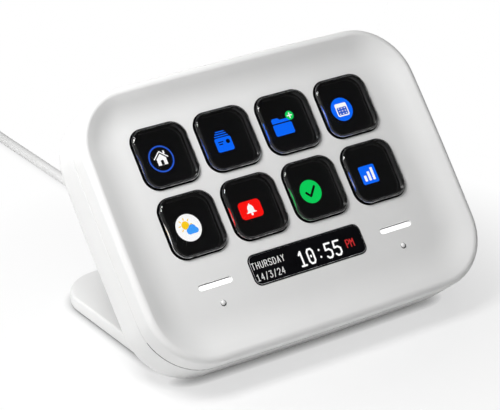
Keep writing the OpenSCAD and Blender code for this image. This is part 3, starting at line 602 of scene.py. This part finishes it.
# %% Picture helpers
GLOW = {}
for glow_name, glow_colour in {
    "glow_white": (1.0, 1.0, 1.0), "glow_blue": (0.0, 0.14, 1.0), "glow_deep_blue": (0.02, 0.10, 0.62),
    "glow_green": (0.0, 0.62, 0.10), "glow_red": (1.0, 0.004, 0.002), "glow_yellow": (1.0, 0.62, 0.01),
    "glow_sky": (0.05, 0.35, 1.0), "glow_black": (0.0, 0.0, 0.0), "glow_grey": (0.75, 0.75, 0.75),
    "glow_dim_red": (0.55, 0.03, 0.03),
}.items():
    tile = new_finish(glow_name, tuple(0.02 * x for x in glow_colour), 0.5, Specular_IOR_Level=0.0)
    GLOW[glow_name.removeprefix("glow_")] = light_up(tile, glow_colour, 1.0)
GLOW_ORDER = list(GLOW)
TILE = 0.02
DISC_STEPS = 48


class Picture:
    """A drawing in millimetres round its own centre, stacked in thin layers."""

    def __init__(self, base):
        self.bm, self.base, self.layer = bmesh.new(), base, 0

    def fill(self, colour, points):
        """A flat tile with a given outline."""
        low = self.base + TILE * self.layer
        high = low + TILE
        loft(self.bm, [[(x, y, low) for x, y in points], [(x, y, high) for x, y in points]],
             material=GLOW_ORDER.index(colour))
        return self

    def up(self):
        """Draws what follows one layer higher."""
        self.layer += 1
        return self

    def disc(self, colour, x, y, r):
        angles = [2 * math.pi * k / DISC_STEPS for k in range(DISC_STEPS)]
        return self.fill(colour, [(x + r * math.cos(a), y + r * math.sin(a)) for a in angles])

    def box(self, colour, x, y, w, h, r, steps=6):
        """A box with rounded corners."""
        return self.fill(colour, [(p[0] + x, p[1] + y) for p in rounded_ring(w, h, r, 0, steps)])

    def stroke(self, colour, a, b, width):
        """A straight stroke with round ends."""
        (ax, ay), (bx, by) = a, b
        along = math.atan2(by - ay, bx - ax)
        points = []
        for (x, y), start in ((b, along - math.pi / 2), (a, along + math.pi / 2)):
            points += [(x + width / 2 * math.cos(start + math.pi * k / 8),
                        y + width / 2 * math.sin(start + math.pi * k / 8)) for k in range(9)]
        return self.fill(colour, points)

    def path(self, colour, points, width):
        """Strokes from point to point."""
        for a, b in zip(points, points[1:]):
            self.stroke(colour, a, b, width)
        return self

    def ring(self, colour, r, width):
        """A band round the centre, made of eight arcs because a tile can't have a hole."""
        for k in range(8):
            angles = [math.radians(45 * (k + part / 6)) for part in range(7)]
            outside, inside = ([(reach * math.cos(a), reach * math.sin(a)) for a in angles]
                               for reach in (r + width / 2, r - width / 2))
            self.fill(colour, outside + inside[::-1])
        return self


print("glowing colours:", ", ".join(GLOW_ORDER))

# %% Eight pictures
LCD_FRONT = -3.8


def draw_home(p):
    p.ring("deep_blue", 3.55, 0.42)
    p.up().path("white", [(-2.1, 0.25), (0, 2.1), (2.1, 0.25)], 0.3)
    p.fill("white", [(-1.45, -1.75), (1.45, -1.75), (1.45, 0.15), (0, 1.45), (-1.45, 0.15)])
    p.box("white", 1.3, 1.65, 0.5, 0.9, 0.05)
    p.up().box("black", 0, -1.05, 0.85, 1.35, 0.15)


def draw_cards(p):
    p.box("blue", 0, -0.7, 5.2, 4.0, 0.6)
    for y, width in ((1.75, 4.4), (2.4, 3.6), (3.0, 2.8)):
        p.box("blue", -0.1, y, width, 0.3, 0.14)
    p.up().box("black", -0.9, 0.1, 1.7, 0.3, 0.14).box("black", -1.0, -0.55, 1.3, 0.3, 0.14)
    p.disc("black", 1.35, -0.1, 0.62)


def draw_folder(p):
    p.box("blue", -0.3, -1.05, 6.2, 3.3, 0.5)
    p.fill("blue", [(-3.3, 0.95), (-3.3, 2.0), (-2.9, 2.4), (-1.2, 2.4), (-0.6, 1.8), (2.2, 1.8), (2.5, 1.4),
                    (2.5, 0.95)])
    p.up().disc("green", 2.9, 2.3, 1.3)
    p.up().stroke("white", (2.2, 2.3), (3.6, 2.3), 0.32)
    p.up().stroke("white", (2.9, 1.6), (2.9, 3.0), 0.32)


def draw_calendar(p):
    p.disc("blue", 0, 0, 3.45)
    p.up().box("white", 0, -0.1, 3.9, 3.8, 0.5)
    p.up().box("deep_blue", 0, -0.5, 3.2, 2.3, 0.3)
    p.up()
    for x in (-1.0, 0, 1.0):
        for y in (-1.3, -0.5, 0.3):
            p.box("white", x, y, 0.38, 0.28, 0.08, 2)


def draw_weather(p):
    p.disc("white", 0, 0, 3.8)
    x, y = -0.7, 0.8
    p.up().disc("yellow", x, y, 1.15)
    for a in (math.radians(45 * k) for k in range(8)):
        ray_from, ray_to = ((x + r * math.cos(a), y + r * math.sin(a)) for r in (1.5, 1.95))
        p.stroke("yellow", ray_from, ray_to, 0.3)
    p.up().disc("sky", 0.0, -1.0, 0.95).disc("sky", 1.85, -1.05, 0.8).disc("sky", 1.0, -0.45, 1.15)
    p.up().box("sky", 0.95, -1.4, 2.6, 0.95, 0.4)


def draw_bell(p):
    p.box("red", 0, 0, 7.0, 5.0, 1.2)
    p.up().fill("white", [(-1.35, -0.85), (1.35, -0.85), (1.0, -0.35), (0.95, 0.5), (0.6, 1.1), (0, 1.35),
                          (-0.6, 1.1), (-0.95, 0.5), (-1.0, -0.35)])
    p.stroke("white", (-1.45, -0.85), (1.45, -0.85), 0.25)
    p.disc("white", 0, -1.35, 0.36)
    p.disc("white", 0, 1.45, 0.2)


def draw_tick(p):
    p.disc("green", 0, 0, 3.35)
    p.up().path("black", [(-1.5, -0.1), (-0.4, -1.25), (1.6, 1.15)], 0.7)


def draw_bars(p):
    p.box("blue", 0, 0, 5.3, 5.3, 0.5)
    p.up().box("white", -1.35, -0.95, 0.8, 1.7, 0.15).box("white", 0, -0.45, 0.8, 2.7, 0.15)
    p.box("white", 1.35, 0.0, 0.8, 3.6, 0.15)


DRAWINGS = [draw_home, draw_cards, draw_folder, draw_calendar, draw_weather, draw_bell, draw_tick, draw_bars]
for i, draw in enumerate(DRAWINGS, 1):
    picture = Picture(LCD_FRONT)
    draw(picture)
    u, v = key_at(i)
    bmesh.ops.translate(picture.bm, verts=picture.bm.verts, vec=(u, v, 0))
    make_piece(f"picture_{i}", picture.bm, list(GLOW.values()))
print("pictures:", len(DRAWINGS))

# %% [markdown]
# ## The clock bar
# The bar under the keys is a smoked lens with a small display behind it. Its signs are written with strokes, like
# the thin letters of a simple clock: each sign is a list of lines on a grid two wide and four high.

# %% Clock signs
SIGNS = {
    "0": [[(0.5, 0), (1.5, 0), (2, 0.7), (2, 3.3), (1.5, 4), (0.5, 4), (0, 3.3), (0, 0.7), (0.5, 0)],
          [(1, 1.9), (1, 2.1)]],
    "1": [[(0.3, 3.2), (1, 4), (1, 0)], [(0.2, 0), (1.8, 0)]],
    "2": [[(0, 3.2), (0.5, 4), (1.5, 4), (2, 3.3), (2, 2.6), (0, 0), (2, 0)]],
    "3": [[(0, 4), (2, 4), (1, 2.4), (1.5, 2.4), (2, 1.8), (2, 0.7), (1.5, 0), (0.5, 0), (0, 0.6)]],
    "4": [[(1.5, 0), (1.5, 4), (0, 1.2), (2, 1.2)]],
    "5": [[(2, 4), (0.2, 4), (0, 2.3), (1.2, 2.4), (2, 1.8), (2, 0.7), (1.4, 0), (0.5, 0), (0, 0.5)]],
    "A": [[(0, 0), (1, 4), (2, 0)], [(0.4, 1.4), (1.6, 1.4)]],
    "D": [[(0, 0), (0, 4), (1.2, 4), (2, 3.1), (2, 0.9), (1.2, 0), (0, 0)]],
    "M": [[(0, 0), (0, 4), (1, 2.2), (2, 4), (2, 0)]],
    "H": [[(0, 0), (0, 4)], [(2, 0), (2, 4)], [(0, 2), (2, 2)]],
    "P": [[(0, 0), (0, 4), (1.4, 4), (2, 3.4), (2, 2.4), (1.4, 1.8), (0, 1.8)]],
    "R": [[(0, 0), (0, 4), (1.4, 4), (2, 3.4), (2, 2.6), (1.4, 2), (0, 2)], [(1.1, 2), (2, 0)]],
    "S": [[(2, 3.4), (1.5, 4), (0.5, 4), (0, 3.4), (0, 2.7), (0.5, 2.1), (1.5, 1.9), (2, 1.3), (2, 0.6), (1.5, 0),
           (0.5, 0), (0, 0.6)]],
    "T": [[(0, 4), (2, 4)], [(1, 4), (1, 0)]],
    "U": [[(0, 4), (0, 0.7), (0.5, 0), (1.5, 0), (2, 0.7), (2, 4)]],
    "Y": [[(0, 4), (1, 2.1), (2, 4)], [(1, 2.1), (1, 0)]],
    "/": [[(0.3, -0.4), (1.7, 4.2)]],
    ":": [[(1, 0.9), (1, 1.0)], [(1, 2.9), (1, 3.0)]],
}


SIGN_NARROW = 0.92
LENS_TOP = 0.12
# Each text: its colour, the first sign's lower left corner, the signs' height, their spacing and their stroke
CLOCK_TEXTS = {
    "10:55": ("white", -3.2, -29.5, 4.0, 2.95, 0.54),
    "THURSDAY": ("grey", -17.9, -26.5, 1.75, 1.37, 0.2),
    "14/3/24": ("grey", -17.6, -29.75, 1.75, 1.34, 0.2),
    "PM": ("dim_red", 12.7, -28.3, 2.1, 1.4, 0.28),
}


def write(picture, text, colour, x, y, height, step, width):
    """Writes signs from left to right."""
    unit = height / 4
    for k, sign in enumerate(text):
        for line in SIGNS[sign]:
            picture.path(colour, [(x + step * k + unit * a * SIGN_NARROW, y + unit * b) for a, b in line], width)


clock = Picture(LENS_TOP)
for text, place in CLOCK_TEXTS.items():
    write(clock, text, *place)
make_piece("clock_signs", clock.bm, list(GLOW.values()))
print("clock signs written")

# %% [markdown]
# ## Fine painted edges
# Three kinds of thin painted edge finish the face. A strip of painted shade lies along the upper edge of each light
# bar, where the bar sits below the deck and the opening's upper wall is in shade. A dark crescent of painted shadow
# half surrounds each touch dot. The lens and the keys carry a hair-thin painted glint on the sides that catch light,
# broken up by a coarse noise in its colour. Each is a ring that is wide on one side and almost nothing on the other,
# so it runs out to a point at both ends.

# %% Painted shade strips, shadow crescents and glints
LIGHT_AT, LIGHT_LEN, LIGHT_W, LIGHT_SINK = (30.0, -26.8), 10.54, 1.64, 0.4
DOT_DROP, DOT_D = 5.5, 1.4
LENS_W, LENS_H, LENS_R = 36.5, 8.1, 1.8
HAIR, GLINT_IN = 0.015, 0.175


def edge_ring(bm, w, h, r, at, z, left=HAIR, right=HAIR, below=HAIR, above=HAIR):
    """A flat ring with its own width on each side."""
    inner_w, inner_h = w - left - right, h - below - above
    inner_r = min(r - HAIR, inner_w / 2 - 0.01, inner_h / 2 - 0.01)
    inner_at = (at[0] + (left - right) / 2, at[1] + (below - above) / 2)
    outside, inside = (w, h, r), (inner_w, inner_h, inner_r)
    loft(bm, [rounded_ring(*outside, z, KEY_ARC, at), rounded_ring(*outside, z + HAIR, KEY_ARC, at),
              rounded_ring(*inside, z + HAIR, KEY_ARC, inner_at), rounded_ring(*inside, z, KEY_ARC, inner_at)],
         hoop=True)


shade_grey = add_grain(new_finish("shade_grey", (0.3, 0.3, 0.3), 0.7), 300, 0.05, 0.05, 2000, 0.00001)
# A pale grey with a strong noise swing, for painted glints that break up along an edge
painted_glint = add_grain(new_finish("painted_glint", (0.5, 0.5, 0.51), 0.4), 600, 0.95, 0.05, 1500, 0.00001)
shades, shadow_crescents = bmesh.new(), bmesh.new()
for side in (-1, 1):
    u, v = side * LIGHT_AT[0], LIGHT_AT[1]
    # Painted shade along the upper edge of each bar's opening
    edge_ring(shades, LIGHT_LEN, LIGHT_W, 0.8, (u, v), 0.03 - LIGHT_SINK, above=0.34)
    wide = DOT_D + 0.3
    # Painted shadow: a dark crescent, widest at the lower right, where the dot's shaded side and its shadow fall
    edge_ring(shadow_crescents, wide, wide, wide / 2 - 0.01, (u + 0.06, v - DOT_DROP - 0.12), 0.005,
              left=0.09, right=0.21, below=0.27, above=0.03)
make_piece("bar_shades", shades, [shade_grey])
make_piece("dot_shadow_crescents", shadow_crescents, [black_plastic])
line = bmesh.new()
# Painted glint along the lens's left and lower edges
edge_ring(line, LENS_W, LENS_H, LENS_R, (0, LIGHT_AT[1]), LENS_TOP, left=0.08, below=0.08)
make_piece("lens_glint", line, [painted_glint])
glint_w, glint_r = CAP_W - 2 * GLINT_IN, CAP_R - GLINT_IN
for i in range(1, 9):
    line = bmesh.new()
    # Painted glint along each key's right and lower edges
    edge_ring(line, glint_w, glint_w, glint_r, key_at(i), BEZEL_TOP + 0.005, right=0.09, below=0.09)
    make_piece(f"key_glint_{i}", line, [painted_glint], f"key_{i}")
print("fine edges made")

# %% [markdown]
# ## Floor, sky and lamps
# A plain pale floor catches the soft shadow. Part of what the camera and reflections see of it is a plain white
# glow, which keeps the background white while the shadow still shows in the rest. The glow is weaker close to the
# object, so the shadow is deepest there. Right beside the foot an ambient occlusion node, which tells how closed in a
# point is, darkens the floor a little more and draws the thin line where the object stands.

# %% Floor
FLOOR_SIZE, FLOOR_TONE = 4.0, 0.85
GLOW_NEAR, GLOW_FAR, GLOW_FADE = 0.6, 1.0, (0.05, 0.11)
CONTACT_REACH, CONTACT_SAMPLES = 0.0025, 8
CONTACT_POWER, CONTACT_POWER_FAR, CONTACT_FADE = 0.6, 0.12, (0.064, 0.08)


def math_node(tree, operation, first, second, link_second=False):
    """A maths node with its first input linked, and its second either linked or set."""
    node = tree.nodes.new("ShaderNodeMath")
    node.operation = operation
    tree.links.new(first, node.inputs[0])
    if link_second:
        tree.links.new(second, node.inputs[1])
    else:
        node.inputs[1].default_value = second
    return node.outputs[0]


def seen_directly(tree):
    """1 for what the camera sees itself, in a reflection or through glass, otherwise 0."""
    path = tree.nodes.new("ShaderNodeLightPath")
    mirrored = math_node(tree, "MAXIMUM", path.outputs["Is Glossy Ray"], path.outputs["Is Transmission Ray"], True)
    return math_node(tree, "MAXIMUM", path.outputs["Is Camera Ray"], mirrored, True)


def by_distance(tree, distance, span, at_near, at_far):
    """A value that changes evenly between two distances from the object's middle."""
    ramp = tree.nodes.new("ShaderNodeMapRange")
    for socket, value in zip(("From Min", "From Max", "To Min", "To Max"), (*span, at_near, at_far)):
        ramp.inputs[socket].default_value = value
    tree.links.new(distance, ramp.inputs["Value"])
    return ramp.outputs["Result"]


bm = bmesh.new()
bmesh.ops.create_grid(bm, x_segments=1, y_segments=1, size=FLOOR_SIZE)
floor_mesh = bpy.data.meshes.new("floor")
bm.to_mesh(floor_mesh)
bm.free()
floor = bpy.data.objects.new("floor", floor_mesh)
bpy.context.scene.collection.objects.link(floor)
floor_finish = new_finish("floor_finish", (FLOOR_TONE,) * 3, 0.9, Specular_IOR_Level=0.0)
floor_mesh.materials.append(floor_finish)
tree = floor_finish.node_tree
shader = tree.nodes["Principled BSDF"]
mixed = tree.nodes.new("ShaderNodeMixShader")
glow = tree.nodes.new("ShaderNodeEmission")
place = tree.nodes.new("ShaderNodeTexCoord")
length = tree.nodes.new("ShaderNodeVectorMath")
length.operation = "LENGTH"
tree.links.new(place.outputs["Object"], length.inputs[0])
distance = length.outputs["Value"]
fade = by_distance(tree, distance, GLOW_FADE, GLOW_NEAR, GLOW_FAR)
tree.links.new(math_node(tree, "MULTIPLY", seen_directly(tree), fade, True), mixed.inputs["Fac"])
contact = tree.nodes.new("ShaderNodeAmbientOcclusion")
contact.samples = CONTACT_SAMPLES
contact.inputs["Distance"].default_value = CONTACT_REACH
power = by_distance(tree, distance, CONTACT_FADE, CONTACT_POWER, CONTACT_POWER_FAR)
shade = math_node(tree, "POWER", contact.outputs["AO"], power, True)
tree.links.new(shade, glow.inputs["Strength"])
tree.links.new(math_node(tree, "MULTIPLY", shade, FLOOR_TONE), shader.inputs["Base Color"])
tree.links.new(shader.outputs[0], mixed.inputs[1])
tree.links.new(glow.outputs[0], mixed.inputs[2])
tree.links.new(mixed.outputs[0], tree.nodes["Material Output"].inputs["Surface"])
glow.inputs["Color"].default_value = (1, 1, 1, 1)

# %% [markdown]
# The sky is dark apart from a few broad soft lights. Each one is a lobe: the cosine of the angle to its direction,
# raised to a power, so a high power gives a narrow light. The direction of a sky point is its Generated coordinate.
# The part of the sky that the flat key tops mirror, in front and to the right, stays nearly dark, which is how a
# black glossy display is lit.

# %% Sky
# Each lobe: its direction, its power and its strength
SKY_LOBES = [((-1, -1, 0.6), 4, 0.68), ((0, -1, 0), 2, 0.13), ((0, 1, 0), 2, 0.6), ((1, 0, 0), 4, 0.15)]

world = bpy.data.worlds.new("world")
world.use_nodes = True
bpy.context.scene.world = world
tree = world.node_tree
sky = tree.nodes["Background"]
sky.inputs["Color"].default_value = (1, 1, 1, 1)
towards = tree.nodes.new("ShaderNodeTexCoord")
total = None
for direction, power, strength in SKY_LOBES:
    cosine = tree.nodes.new("ShaderNodeVectorMath")
    cosine.operation = "DOT_PRODUCT"
    cosine.inputs[1].default_value = Vector(direction).normalized()
    tree.links.new(towards.outputs["Generated"], cosine.inputs[0])
    lobe = math_node(tree, "POWER", math_node(tree, "MAXIMUM", cosine.outputs["Value"], 0), power)
    lobe = math_node(tree, "MULTIPLY", lobe, strength)
    total = math_node(tree, "ADD", total, lobe, True) if total else lobe
tree.links.new(total, sky.inputs["Strength"])
bpy.context.scene.view_settings.view_transform = "Standard"

# %% [markdown]
# Two soft lamps hang close by, up and to the left. Because they are near, their light fades across the face, and
# because they are large, their shadows have no edge.

# %% Lamps
LAMPS_AIM_AT = Vector((0, 0, 0.03))


def soft_lamp(name, place, width, watts):
    """A square lamp that is turned to the object."""
    data = bpy.data.lights.new(name, "AREA")
    data.shape = "SQUARE"
    data.size = width
    data.energy = watts
    lamp = bpy.data.objects.new(name, data)
    bpy.context.scene.collection.objects.link(lamp)
    lamp.location = place
    lamp.rotation_mode = "QUATERNION"
    lamp.rotation_quaternion = (LAMPS_AIM_AT - lamp.location).to_track_quat("-Z", "Y")


soft_lamp("high_lamp", (-0.14, -0.02, 0.28), 0.12, 0.79)
soft_lamp("low_lamp", (-0.22, 0.12, 0.12), 0.25, 0.137)
print("lamps:", len(bpy.data.lights))
